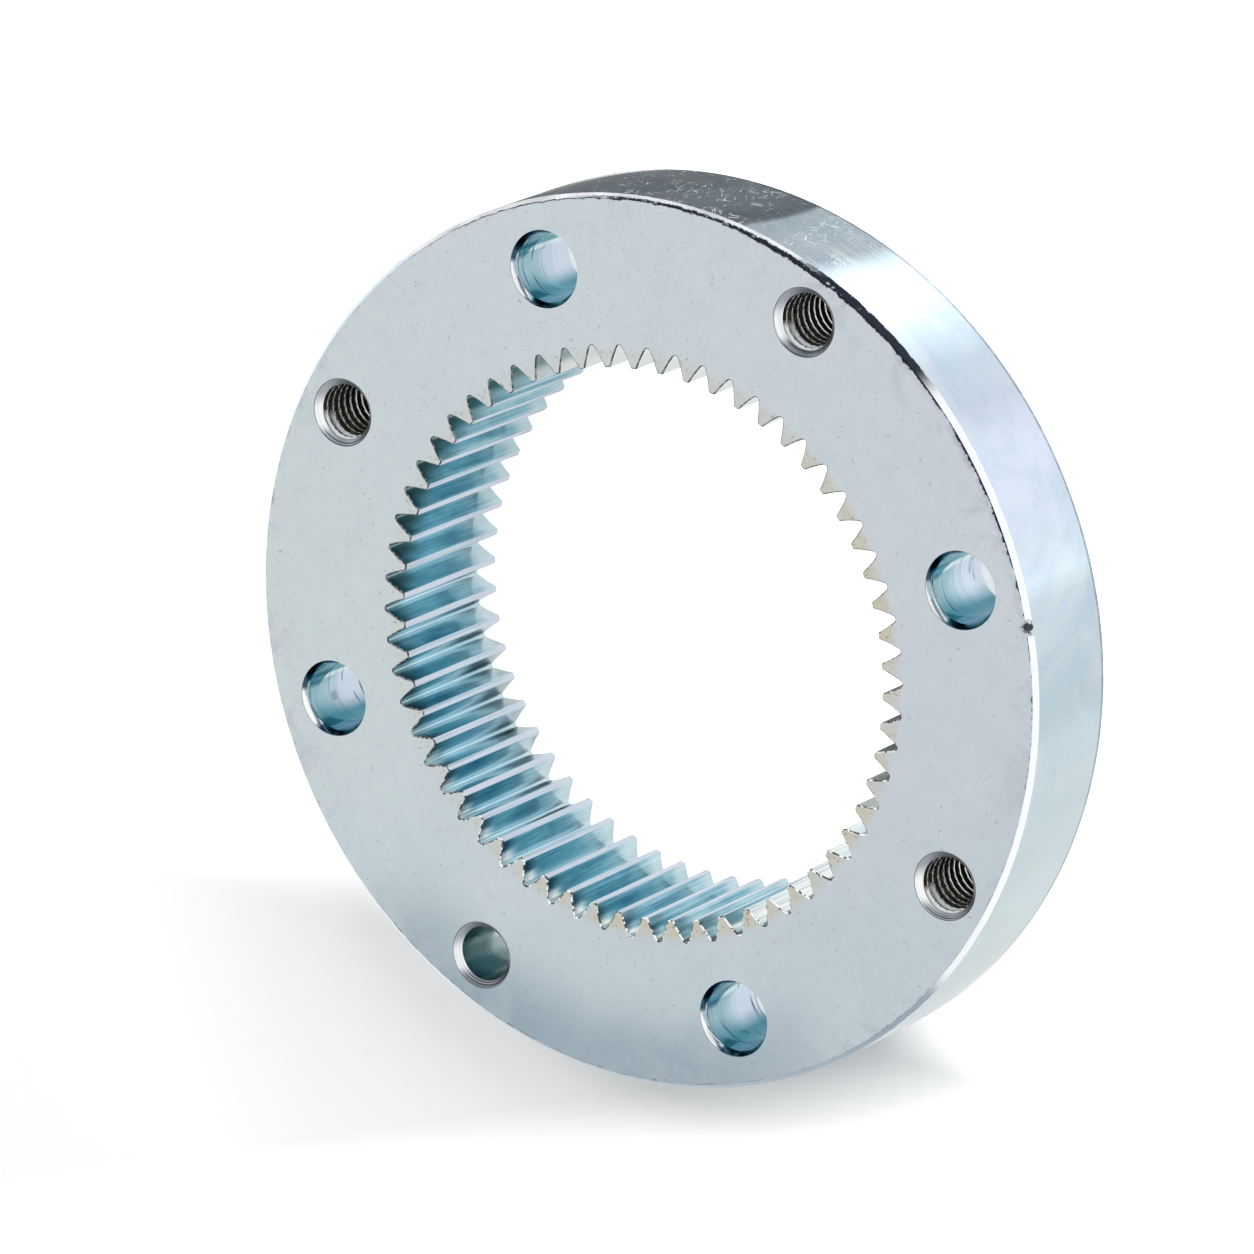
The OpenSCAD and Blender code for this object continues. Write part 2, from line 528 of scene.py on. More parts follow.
def faced_zinc(name, with_teeth):
    """The flat faces: cloudy plating, and brown stains at the tooth ends of the drilled face."""
    paint = Paint(name)
    reach = paint.reach
    cloud = paint.noise(paint.place, 55.0, 5.0, 0.62, 0.8)
    mottle = paint.noise(paint.place, 300.0, 4.0, 0.6)
    grain = paint.noise(paint.place, 2600.0, 2.0, 0.6)
    # The colour: greenish on the left, bluish on the right, darker towards the bottom and along the lower
    # left edge, with soft clouds
    side = paint.span(paint.x, -0.055, 0.055)
    colour = paint.blend(side, (0.625, 0.690, 0.696), (0.615, 0.660, 0.695))
    colour = paint.over(colour, (0.470, 0.560, 0.615), paint.soft(paint.y, 0.005, -0.068, 0.0, 0.48))
    low_edge = paint.both(paint.sector(-114, 20, 24), paint.soft(reach, 0.052, 0.066))
    colour = paint.over(colour, (0.300, 0.380, 0.440), low_edge, 0.85)
    colour = paint.over(colour, (0.700, 0.740, 0.755), paint.span(cloud, 0.38, 0.64, 0.0, 0.26))
    colour = paint.over(colour, (0.470, 0.515, 0.560), paint.span(mottle, 0.42, 0.68, 0.0, 0.12))
    colour = paint.over(colour, (0.460, 0.500, 0.540), paint.span(grain, 0.35, 0.75, 0.0, 0.05))
    # Handling marks: small specks, and thin scratches, curved and straight
    specks = paint.span(paint.noise(paint.place, 1500.0, 1.0, 0.5), 0.745, 0.785)
    colour = paint.over(colour, (0.19, 0.19, 0.21), specks, 0.45)
    across_face = [(0.0, 0.0, 0.7), (0.0, 0.0, 2.0), (0.0, 0.0, 3.2)]
    straight = paint.both(paint.streaks(across_face, 0.0060, 0.00025, 0.71, 0.77), 0.45)
    curved = paint.either(paint.hairs(210.0, 0.006, 0.60), paint.hairs(390.0, 0.008, 0.62))
    scratches = paint.either(curved, straight)
    colour = paint.over(colour, (0.25, 0.27, 0.31), scratches, 0.42)
    # A broken dark line along the outer edge, thick at the upper right, in a soft dark smudge and a bluish
    # dark band at the right
    smudge = paint.span(paint.noise(paint.place, 130.0, 5.0, 0.7, 1.2), 0.50, 0.70)
    smudge = paint.both(smudge, paint.soft(reach, face_rim - 0.0073, face_rim - 0.0001))
    smudge = paint.both(smudge, paint.linear(paint.sector(36, 26, 10), 0.25, 0.28))
    colour = paint.over(colour, (0.30, 0.31, 0.36), smudge)
    ragged = paint.noise(paint.place, 650.0, 5.0, 0.75)
    patchy = paint.soft(paint.noise(paint.place, 60.0, 2.0, 0.5), 0.40, 0.60)
    thick = paint.either(paint.sector(40, 12, 10), paint.both(patchy, paint.sector(14, 12, 8)))
    edge_dark_from = paint.linear(thick, -0.00034, face_rim - 0.00008)
    edge_dark = paint.math("ADD", reach, paint.linear(ragged, 0.0016, -0.0008))
    edge_dark = paint.span(paint.math("SUBTRACT", edge_dark, edge_dark_from), -0.00003, 0.00012)
    edge_dark = paint.both(edge_dark, paint.either(paint.sector(32, 46, 10), paint.linear(patchy, 0.4, 0.25)))
    halo = paint.both(paint.soft(reach, face_rim - 0.0015, face_rim - 0.0001), paint.sector(10, 20, 8))
    halo = paint.both(paint.both(halo, patchy), paint.span(ragged, 0.42, 0.60))
    colour = paint.over(colour, (0.20, 0.23, 0.33), halo, 0.55)
    spot = paint.span(paint.from_spot(spot_degrees, face_rim), 0.0010, 0.0004)
    colour = paint.over(colour, edge_dark_colour, paint.either(edge_dark, paint.both(spot, 0.97)), 0.99)
    if with_teeth:
        tooth = paint.soft(reach, tooth_tip + 0.0036, tooth_tip + 0.0020)
        lower_right = paint.span(paint.math("SUBTRACT", paint.x, paint.y), -0.030, 0.030)
        stain = paint.both(tooth, paint.linear(lower_right, 0.75, 0.25))
        stain = paint.both(stain, paint.span(paint.noise(paint.place, 330.0, 3.0), 0.30, 0.60, 0.35, 1.0))
        colour = paint.over(colour, (0.60, 0.54, 0.39), stain, 0.78)
        dots = paint.span(paint.noise(paint.place, 2100.0, 1.0, 0.5), 0.66, 0.72)
        colour = paint.over(colour, (0.16, 0.12, 0.07), paint.both(dots, tooth), 0.55)
    roughness = paint.span(cloud, 0.3, 0.7, 0.36, 0.44)
    height = paint.math("ADD", grain, paint.both(scratches, -0.8))
    return paint.finish(colour, roughness, height, 0.000004)


def turned_zinc(name, chamfer_top):
    """The turned walls. The boss has no front chamfer, so its chamfer_top lies above the ring."""
    paint = Paint(name)
    lines = paint.noise(paint.squeezed(25.0, 25.0, 5200.0), 1.0, 3.0, 0.7)
    cloud = paint.noise(paint.place, 95.0, 4.0, 0.6, 0.4)
    drifts = paint.noise(paint.place, 38.0, 5.0, 0.65, 1.5)
    angle = paint.math("ARCTAN2", paint.y, paint.x)
    # Painted reflections round the rim: pale green below, pale blue at the right, silver at the top, over
    # soft clouds
    pale_green = (0.740, 0.790, 0.775)
    colour = paint.blend(paint.soft(angle, -0.9, 0.2), pale_green, (0.720, 0.805, 0.925))
    colour = paint.over(colour, (0.66, 0.75, 0.84), paint.soft(angle, 0.45, 0.75))
    colour = paint.over(colour, pale_green, paint.soft(angle, 2.0, 2.9))
    colour = paint.over(colour, (0.77, 0.86, 0.90), paint.span(cloud, 0.40, 0.62, 0.0, 0.55))
    # Also painted reflections: a lilac band at the right, a blue-grey band at the upper right, blue drifts at
    # the lower right and blue patches at the top
    lilac = paint.both(paint.sector(14, 6, 10), paint.span(cloud, 0.40, 0.56, 0.2, 0.8))
    colour = paint.over(colour, (0.80, 0.82, 0.98), lilac)
    blue_grey = paint.both(paint.sector(53, 4, 4), paint.span(cloud, 0.38, 0.58, 0.1, 0.8))
    colour = paint.over(colour, (0.60, 0.68, 0.80), blue_grey)
    drifted = paint.both(paint.span(drifts, 0.46, 0.60, 0.0, 0.60), paint.span(angle, -0.7, -0.2, 0.2, 1.0))
    colour = paint.over(colour, (0.56, 0.70, 0.80), drifted)
    colour = paint.over(colour, (0.84, 0.92, 0.92), paint.span(drifts, 0.45, 0.34, 0.0, 0.55))
    colour = paint.over(colour, (0.45, 0.50, 0.56), paint.span(lines, 0.45, 0.70, 0.0, 0.08))
    blue_patches = paint.span(paint.noise(paint.place, 120.0, 4.0, 0.65, 1.0), 0.46, 0.62)
    colour = paint.over(colour, (0.36, 0.50, 0.62), paint.both(blue_patches, paint.sector(76, 16, 8)), 0.65)
    # Handling marks: short scrapes and long turned lines, most of them at the top
    along_wall = [(tilt, 0.0, 1.26) for tilt in (-1.1, -0.6, 0.1, 0.5, 1.0)]
    scrapes = paint.streaks(along_wall, 0.0030, 0.00034, 0.68, 0.74)
    clusters = paint.span(paint.noise(paint.place, 210.0, 2.0, 0.5), 0.44, 0.60, 0.10, 0.80)
    scrapes = paint.both(paint.both(scrapes, clusters), paint.sector(72, 24, 5))
    thin_lines = paint.span(paint.noise(paint.squeezed(70.0, 70.0, 3600.0), 1.0, 2.0, 0.5), 0.50, 0.62)
    few_lines = paint.span(paint.noise(paint.squeezed(110.0, 110.0, 1900.0), 1.0, 1.0, 0.4), 0.58, 0.66)
    turned_lines = paint.either(paint.both(thin_lines, 0.30), paint.both(few_lines, 0.55))
    marks = paint.either(scrapes, paint.both(turned_lines, paint.sector(47, 4, 6)))
    colour = paint.over(colour, (0.88, 0.96, 1.0), marks)
    # The front chamfer: painted shade makes it grey below and a painted highlight white at the right; it is
    # rubbed pale at the top and dark beside the face
    ragged = paint.linear(paint.noise(paint.place, 650.0, 5.0, 0.75), 0.0008, -0.0004)
    down = paint.math("ADD", paint.math("SUBTRACT", chamfer_top, paint.z), ragged)
    chamfer = paint.span(down, 0.00085, 0.00070)
    colour = paint.over(colour, (0.30, 0.37, 0.43), paint.both(chamfer, paint.sector(-94, 38, 6)), 0.92)
    colour = paint.over(colour, (0.97, 0.99, 1.0), paint.both(chamfer, paint.sector(-13, 41, 6)), 0.95)
    outer_half = paint.both(paint.span(down, 0.00030, 0.00040), paint.span(down, 0.00090, 0.00075))
    rubbed = paint.both(outer_half, paint.sector(72, 20, 6))
    rubbed = paint.either(rubbed, paint.both(chamfer, paint.sector(94, 14, 6)))
    rubbed_colour = paint.blend(paint.span(cloud, 0.40, 0.60), (0.55, 0.55, 0.58), (0.80, 0.81, 0.84))
    colour = paint.over(colour, rubbed_colour, rubbed)
    inner = paint.both(paint.span(down, 0.00038, 0.00028), paint.sector(58, 16, 12))
    whole = paint.both(paint.span(down, 0.00082, 0.00070), paint.sector(37, 8, 5))
    thin = paint.both(paint.span(down, 0.00016, 0.00008), paint.sector(84, 14, 8))
    edge_dark = paint.either(paint.either(inner, whole), thin)
    chips = paint.span(paint.noise(paint.place, 1100.0, 2.0, 0.6), 0.58, 0.66)
    edge_dark = paint.both(edge_dark, paint.linear(paint.both(chips, paint.sector(62, 16, 8)), -0.75, 1.0))
    spot = paint.span(paint.from_spot(spot_degrees, face_rim + 0.0002), 0.0012, 0.0006)
    spot = paint.both(spot, paint.span(down, 0.0009, 0.0007))
    edge_dark = paint.either(edge_dark, paint.both(spot, 0.97))
    colour = paint.over(colour, edge_dark_colour, edge_dark, 0.99)
    # Dark along the rim's back edge and on the boss behind it
    edge_z = (rim_back + rim_chamfer) * MM
    back_edge = paint.span(paint.z, edge_z + 0.0008, edge_z + 0.0004)
    back_edge = paint.both(back_edge, paint.span(ragged, -0.0001, 0.0001, 0.5, 1.0))
    colour = paint.over(colour, (0.17, 0.20, 0.25), back_edge, 0.8)
    dull = paint.either(paint.both(rubbed, 0.75), paint.both(edge_dark, 0.6))
    metal = paint.without(paint.either(dull, paint.both(scrapes, 0.7)))
    roughness = paint.linear(paint.either(marks, rubbed), 0.30, 0.085)
    height = paint.math("ADD", paint.both(lines, 0.5), paint.both(marks, -0.8))
    return paint.finish(colour, roughness, height, 0.0000022, metal)


def cut_zinc(name):
    """The teeth: glossy plating with fine cutting lines, and painted reflections and shade that change round
    the ring and along it.
    """
    paint = Paint(name)
    reach = paint.reach
    lines = paint.noise(paint.squeezed(2600.0, 2600.0, 16.0), 1.0, 3.0, 0.65)
    cloud = paint.noise(paint.squeezed(340.0, 340.0, 90.0), 1.0, 3.0, 0.6)
    wander = paint.noise(paint.squeezed(160.0, 160.0, 60.0), 1.0, 2.0, 0.5)
    height = paint.math("ADD", paint.z, paint.linear(wander, 0.008, -0.004))
    root = paint.soft(reach, tooth_tip + 0.0025, tooth_tip + 0.0030)
    mouth = paint.soft(paint.z, front - 0.005, front - 0.002)
    # The plating: teal where the film is thick; painted shade makes it greyer at the front, and a painted
    # reflection pale at the back end
    colour = paint.blend(paint.span(cloud, 0.34, 0.66), (0.145, 0.360, 0.450), (0.360, 0.600, 0.680))
    colour = paint.over(colour, (0.62, 0.80, 0.88), paint.span(lines, 0.46, 0.70, 0.0, 0.50))
    colour = paint.over(colour, (0.070, 0.230, 0.310), paint.span(lines, 0.44, 0.30, 0.0, 0.40))
    colour = paint.over(colour, (0.66, 0.82, 0.89), root, 0.50)
    greyer = paint.soft(height, front - 0.006, front - 0.001, 0.0, 0.55)
    colour = paint.over(colour, (0.165, 0.255, 0.270), greyer)
    colour = paint.over(colour, (0.66, 0.76, 0.79), paint.soft(height, 0.0055, 0.0015, 0.0, 0.60))
    # Painted reflections and shade round the ring: pale at the top, dark roots at the upper left, deep teal
    # at the bottom
    top = paint.both(paint.sector(54, 38, 14), paint.span(paint.z, front - 0.010, front - 0.006, 0.60, 1.0))
    colour = paint.over(colour, (0.80, 0.83, 0.78), top, 0.88)
    upper_left = paint.both(paint.sector(124, 30, 12), paint.soft(paint.z, front - 0.008, front - 0.004))
    upper_left = paint.both(upper_left, paint.soft(reach, tooth_tip + 0.0008, tooth_tip + 0.0024))
    colour = paint.over(colour, (0.11, 0.19, 0.19), upper_left, 0.80)
    colour = paint.over(colour, (0.085, 0.210, 0.250), paint.both(paint.sector(-90, 10, 8), mouth), 0.55)
    # Painted highlights: white root ends at the lower left and silver at the lower right. Painted shade: a
    # grey band, dark dull flanks at the right and dark roots at the lower right
    white_root = paint.soft(reach, tooth_tip + 0.0015, tooth_tip + 0.0022)
    white_root = paint.both(white_root, paint.span(reach, tooth_tip + 0.00325, tooth_tip + 0.0030))
    white_root = paint.both(white_root, paint.both(paint.sector(236, 42, 8), mouth))
    colour = paint.over(colour, (0.99, 1.0, 0.99), white_root)
    silver = paint.blend(paint.span(lines, 0.46, 0.62), (0.98, 1.0, 0.99), (0.66, 0.76, 0.77))
    colour = paint.over(colour, silver, paint.sector(-64, 15, 4), 0.94)
    colour = paint.over(colour, (0.42, 0.46, 0.43), paint.sector(-41, 4, 3), 0.85)
    painted_shade_flanks = paint.both(paint.sector(-10, 25, 3), paint.soft(height, front - 0.010, front - 0.006, 0.25, 1.0))
    painted_shade_flanks = paint.both(painted_shade_flanks, paint.span(cloud, 0.30, 0.50, 0.65, 1.0))
    colour = paint.over(colour, (0.115, 0.122, 0.108), painted_shade_flanks, 0.9)
    low_root = paint.both(paint.soft(reach, tooth_tip + 0.00275, tooth_tip + 0.00315), mouth)
    colour = paint.over(colour, (0.090, 0.120, 0.115), paint.both(low_root, paint.sector(-66, 34, 6)), 0.9)
    # Painted highlights along the edges: bright crests, and bright glints on the dark front edges
    crest = paint.span(reach, tooth_tip + 0.00012, tooth_tip + 0.00003)
    crest = paint.both(crest, paint.span(lines, 0.36, 0.52, 0.45, 0.90))
    colour = paint.over(colour, (0.60, 0.63, 0.72), crest)
    painted_glints = paint.span(paint.noise(paint.place, 1700.0, 1.0, 0.5), 0.49, 0.53)
    painted_glints = paint.both(painted_glints, paint.linear(paint.span(paint.y, 0.000, -0.030), 0.75, 0.25))
    edge_colour = paint.blend(painted_glints, (0.060, 0.060, 0.058), (0.90, 0.91, 0.91))
    front_edge = paint.span(paint.z, front - 0.00026, front - 0.00018)
    colour = paint.over(colour, edge_colour, front_edge)
    metal = paint.without(paint.either(paint.both(front_edge, 0.8), paint.both(painted_shade_flanks, 0.9)))
    roughness = paint.either(paint.span(cloud, 0.3, 0.7, 0.10, 0.20), paint.both(painted_shade_flanks, 0.55))
    return paint.finish(colour, roughness, lines, 0.000003, metal)


def drilled_zinc(name):
    """The bolt holes' walls. Their colour bands are painted reflections; they run along the bore, at the same
    places in each hole.
    """
    paint = Paint(name)
    away = bolt_circle * MM
    centre_x = paint.both(paint.math("ROUND", paint.both(paint.x, 1 / away)), away)
    centre_y = paint.both(paint.math("ROUND", paint.both(paint.y, 1 / away)), away)
    hole_x = paint.math("SUBTRACT", paint.x, centre_x)
    hole_y = paint.math("SUBTRACT", paint.y, centre_y)
    around = paint.math("ARCTAN2", hole_y, paint.both(hole_x, -1.0))
    far_side = paint.span(paint.math("ABSOLUTE", around), 1.45, 1.95)
    wander = paint.noise(paint.squeezed(200.0, 200.0, 60.0), 1.0, 2.0, 0.5)
    around = paint.math("ADD", around, paint.linear(wander, 0.4, -0.2))
    fine = paint.noise(paint.squeezed(60.0, 60.0, 6000.0), 1.0, 2.0, 0.6)
    # The painted reflections: green and teal above, a pale line, lilac in the middle, deep teal below, and a
    # pale far side for the near side to mirror
    colour = paint.blend(paint.soft(around, 0.05, -0.75), (0.40, 0.60, 0.66), (0.075, 0.290, 0.390))
    colour = paint.over(colour, (0.150, 0.400, 0.430), paint.span(around, 0.62, 0.78))
    deep = paint.math("ADD", paint.z, paint.linear(wander, 0.006, -0.003))
    deep = paint.soft(deep, front - 0.0045, front - 0.0105, 0.05, 1.0)
    middle = paint.both(paint.span(around, 0.66, 0.52), paint.soft(around, -0.80, -0.15))
    colour = paint.over(colour, (0.76, 0.84, 0.98), paint.both(middle, deep), 0.92)
    pale_line = paint.both(paint.soft(around, 0.50, 0.58), paint.soft(around, 0.75, 0.66))
    colour = paint.over(colour, (0.86, 0.98, 1.0), pale_line, 0.95)
    colour = paint.over(colour, (0.93, 0.97, 0.98), far_side)
    # The drill's marks: fine lines and a few dark rings
    colour = paint.over(colour, (0.25, 0.40, 0.48), paint.span(fine, 0.45, 0.75, 0.0, 0.15))
    rings = paint.noise(paint.squeezed(30.0, 30.0, 620.0), 1.0, 1.0, 0.4)
    rings = paint.span(paint.math("ABSOLUTE", paint.math("SUBTRACT", rings, 0.56)), 0.012, 0.005)
    colour = paint.over(colour, (0.04, 0.09, 0.13), rings, 0.80)
    # Painted highlights and shade: the far end is white, the countersink in front white with navy ends. The
    # mouth's edge is dark
    colour = paint.over(colour, (0.95, 1.0, 1.0), paint.span(paint.z, back + 0.0057, back + 0.0052), 0.9)
    navy = paint.both(paint.span(around, 0.30, 0.42), paint.span(paint.z, front - 0.00085, front - 0.00075))
    low_navy = paint.both(paint.span(around, -0.76, -0.86), paint.span(around, -1.40, -1.25))
    sink_colour = paint.blend(paint.span(around, -1.15, -1.35), (0.99, 1.0, 1.0), (0.36, 0.50, 0.55))
    sink_colour = paint.over(sink_colour, (0.085, 0.150, 0.205), paint.either(navy, low_navy))
    colour = paint.over(colour, sink_colour, paint.span(paint.z, front - 0.00115, front - 0.0010), 0.95)
    mouth_edge = paint.both(paint.span(paint.z, front - 0.0001, front - 0.00006), 0.8)
    colour = paint.over(colour, (0.07, 0.09, 0.11), mouth_edge)
    roughness = paint.span(fine, 0.3, 0.7, 0.05, 0.11)
    height = paint.math("SUBTRACT", fine, rings)
    return paint.finish(colour, roughness, height, 0.000003, paint.without(mouth_edge))


def sunk_mouth(paint, colour):
    """The countersink of a small hole: silver, with painted shade greyer above and darker below, fine turned
    rings and a dark edge.
    """
    side = paint.math("SUBTRACT", paint.y, paint.both(paint.math("SIGN", paint.y), tap_place))
    rings = paint.noise(paint.squeezed(40.0, 40.0, 7000.0), 1.0, 2.0, 0.6)
    silver = paint.blend(paint.span(rings, 0.42, 0.62), (1.0, 1.0, 1.0), (0.80, 0.82, 0.84))
    silver = paint.over(silver, (0.42, 0.44, 0.47), paint.soft(side, 0.0012, 0.0038))
    low_grey = paint.blend(paint.span(rings, 0.40, 0.56), (0.52, 0.54, 0.57), (0.10, 0.11, 0.13))
    silver = paint.over(silver, low_grey, paint.soft(side, -0.0010, -0.0030))
    sink = paint.span(paint.z, front - 0.00112, front - 0.00104)
    mouth_edge = paint.both(paint.span(paint.z, front - 0.00014, front - 0.00008), 0.8)
    colour = paint.over(colour, silver, sink)
    return paint.over(colour, (0.09, 0.10, 0.11), mouth_edge), sink, mouth_edge


def plain_drilled_zinc(name):
    """The untapped hole's wall: dull teal, grey and pale bands along it, painted reflections at fixed places
    round the hole, with fine drill lines.
    """
    paint = Paint(name)
    cloud = paint.noise(paint.squeezed(260.0, 260.0, 120.0), 1.0, 3.0, 0.6)
    fine = paint.noise(paint.squeezed(60.0, 60.0, 6000.0), 1.0, 2.0, 0.6)
    hole_x = paint.math("ADD", paint.x, tap_place)
    hole_y = paint.math("ADD", paint.y, tap_place)
    around = paint.math("ARCTAN2", hole_y, paint.both(hole_x, -1.0))
    around = paint.math("ADD", around, paint.linear(cloud, 1.0, -0.5))
    colour = paint.blend(paint.soft(around, 0.30, 0.75), (0.42, 0.53, 0.53), (0.14, 0.31, 0.37))
    light_band = paint.both(paint.soft(around, 0.10, 0.30), paint.soft(around, 0.62, 0.40))
    colour = paint.over(colour, (0.80, 0.88, 0.87), light_band, 0.8)
    colour = paint.over(colour, (0.19, 0.28, 0.29), paint.soft(around, -0.15, -0.60))
    colour = paint.over(colour, (0.60, 0.70, 0.69), paint.span(fine, 0.40, 0.70, 0.0, 0.20))
    colour, sink, mouth_edge = sunk_mouth(paint, colour)
    roughness = paint.either(paint.span(fine, 0.3, 0.7, 0.14, 0.24), paint.both(sink, 0.42))
    return paint.finish(colour, roughness, fine, 0.000004, paint.without(mouth_edge))


def tapped_zinc(name):
    """The threads: bright crests, and grooves painted dark as shade, brownish in patches, except for the
    first ones at the lower left, painted light.
    """
    paint = Paint(name)
    hole_x = paint.math("SUBTRACT", paint.x, paint.both(paint.math("SIGN", paint.x), tap_place))
    hole_y = paint.math("SUBTRACT", paint.y, paint.both(paint.math("SIGN", paint.y), tap_place))
    from_axis = paint.length(hole_x, hole_y)
    dirt = paint.noise(paint.place, 700.0, 3.0, 0.6)
    patches = paint.noise(paint.place, 330.0, 2.0, 0.5)
    crest = drill_radius * MM
    groove = paint.soft(from_axis, crest + 0.000005, crest + 0.00008)
    colour = paint.blend(paint.span(dirt, 0.35, 0.65), (0.66, 0.68, 0.64), (0.86, 0.88, 0.86))
    # Painted shade fills the grooves, brownish in patches; the first grooves at the lower left are painted
    # light
    painted_groove_shade = paint.over((0.012, 0.011, 0.009), (0.075, 0.062, 0.030), paint.span(dirt, 0.52, 0.70), 0.8)
    low_left = paint.math("ADD", hole_y, paint.linear(patches, 0.0020, -0.0010))
    first = paint.both(paint.soft(paint.z, front - 0.0045, front - 0.0022), paint.span(low_left, 6e-4, -6e-4))
    groove_floor_at = thread_radius * MM
    first = paint.both(first, paint.span(from_axis, groove_floor_at - 0.00022, groove_floor_at - 0.00045))
    painted_groove_shade = paint.over(painted_groove_shade, (0.66, 0.69, 0.71), first)
    colour = paint.over(colour, painted_groove_shade, groove)
    colour, sink, mouth_edge = sunk_mouth(paint, colour)
    shaded_grooves = paint.both(groove, paint.without(paint.either(sink, first)))
    metal = paint.without(paint.either(shaded_grooves, mouth_edge))
    roughness = paint.either(paint.linear(shaded_grooves, 0.35, 0.12), paint.both(sink, 0.36))
    return paint.finish(colour, roughness, dirt, 0.000006, metal)


above_ring = 0.030
finishes = {
    "face": faced_zinc("zinc_faced_front", True),
    "back": faced_zinc("zinc_faced_back", False),
    "rim": turned_zinc("zinc_turned_rim", front),
    "boss": turned_zinc("zinc_turned_boss", above_ring),
    "teeth": cut_zinc("zinc_cut_teeth"),
    "bore": drilled_zinc("zinc_drilled_bores"),
    "plain bore": plain_drilled_zinc("zinc_plain_drilled_hole"),
    "thread": tapped_zinc("zinc_tapped_threads"),
}
order = list(finishes)

ring_mesh = bpy.data.meshes.new("toothed_flange_ring")
ring_mesh.from_pydata([tuple(c * MM for c in p) for p in corners], [], [f for f, _ in patches])
for name in order:
    ring_mesh.materials.append(finishes[name])
ring_mesh.polygons.foreach_set("material_index", [order.index(name) for _, name in patches])

# The shading is smooth over turned and cut surfaces, and sharp at corners and round the flat faces
work = bmesh.new()
work.from_mesh(ring_mesh)
flat = {order.index("face"), order.index("back")}
sharp_turn = math.radians(28)
for face in work.faces:
    face.smooth = True
for edge in work.edges:
    one, other = edge.link_faces
    leaves_flat = (one.material_index in flat) != (other.material_index in flat)
    edge.smooth = not (leaves_flat or edge.calc_face_angle() > sharp_turn)
work.to_mesh(ring_mesh)
work.free()

ring = bpy.data.objects.new("toothed_flange_ring", ring_mesh)
bpy.context.scene.collection.objects.link(ring)
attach(ring, "root")
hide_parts("flange_ring")


# The table: a plain white sheet of paper that the ring lies on, far wider than the picture.
# It glows as well as being lit: the camera sees it white, with the ring's soft shadow only where this painted
# glow is weak, and the metal mirrors it evenly bright.
floor_half = 4.0
floor_mesh = bpy.data.meshes.new("floor")
floor_corners = [(floor_half * x, floor_half * y, 0) for x, y in ((-1, -1), (1, -1), (1, 1), (-1, 1))]
floor_mesh.from_pydata(floor_corners, [], [(0, 1, 2, 3)])
floor = bpy.data.objects.new("floor", floor_mesh)
bpy.context.scene.collection.objects.link(floor)
sheet = Paint("white_sheet")


def chosen(tree, share, otherwise, when):
    """One look or the other, by the share of the second."""
    mix = tree.nodes.new("ShaderNodeMixShader")
    for socket, source in zip(mix.inputs, (share, otherwise, when)):
        tree.links.new(source, socket)
    return mix.outputs[0]


def sheet_look(white, glow):
    """The sheet's own white under the lights, with some glow of its own added."""
    paper = sheet.add("ShaderNodeBsdfDiffuse")
    sheet.feed(paper.inputs["Color"], (white, white, white))
    shine = sheet.add("ShaderNodeEmission")
    sheet.feed(shine.inputs["Strength"], glow)
    added = sheet.add("ShaderNodeAddShader")
    sheet.feed(added.inputs[0], paper.outputs[0])
    sheet.feed(added.inputs[1], shine.outputs[0])
    return added.outputs[0]


# The sheet's glow, which only the camera sees, is painted light: it is weak on the left and under the ring's
# front, where the shadow is kept, and lifts the shadow into white elsewhere.
# Behind the ring the weak glow ends at two lines on the sheet, which fall at these slopes towards +X.
slanted = sheet.either(sheet.linear(sheet.x, 0.32, sheet.y), sheet.linear(sheet.x, 0.8, sheet.y))
behind = sheet.soft(slanted, -0.066, -0.046, 0.035, 0.72)
in_front = sheet.soft(sheet.y, -0.068, -0.088, 0.0, 0.46)
far_left = sheet.soft(sheet.x, -0.098, -0.125, 0.0, 0.05)
seen_glow = sheet.math("ADD", sheet.either(behind, in_front), far_left)

rays = sheet.add("ShaderNodeLightPath").outputs
look = chosen(sheet.tree, rays["Is Glossy Ray"], sheet_look(0.8, 0.0), sheet_look(0.42, 0.68))
look = chosen(sheet.tree, rays["Is Transmission Ray"], look, sheet_look(0.42, 0.68))
look = chosen(sheet.tree, rays["Is Camera Ray"], look, sheet_look(0.88, seen_glow))
sheet_out = sheet.add("ShaderNodeOutputMaterial")
sheet.feed(sheet_out.inputs["Surface"], look)
floor_mesh.materials.append(sheet.material)


# The studio boards: glowing panels stood on the table round the ring, like a photographer's cards for bright
# metal.
# Only the metal's gloss sees their glow. The right-hand one is bright, and the one at the top is grey.
board_distance = 1.2
board_steps = 24


def board(name, points, faces, brightness, tint):
    """One board that shines with the given brightness at each of its corners."""
    mesh = bpy.data.meshes.new(name)
    mesh.from_pydata(points, [], faces)
    levels = mesh.attributes.new("brightness", "FLOAT", "POINT")
    levels.data.foreach_set("value", brightness)
    thing = bpy.data.objects.new(name, mesh)
    bpy.context.scene.collection.objects.link(thing)
    thing.visible_camera = False
    thing.visible_diffuse = False
    thing.visible_shadow = False
    thing.visible_transmission = False
    card = Paint(name)
    level = card.add("ShaderNodeAttribute", attribute_name="brightness")
    light = card.add("ShaderNodeEmission")
    card.feed(light.inputs["Color"], tint)
    card.feed(light.inputs["Strength"], level.outputs["Fac"])
    out = card.add("ShaderNodeOutputMaterial")
    card.feed(out.inputs["Surface"], light.outputs[0])
    mesh.materials.append(card.material)


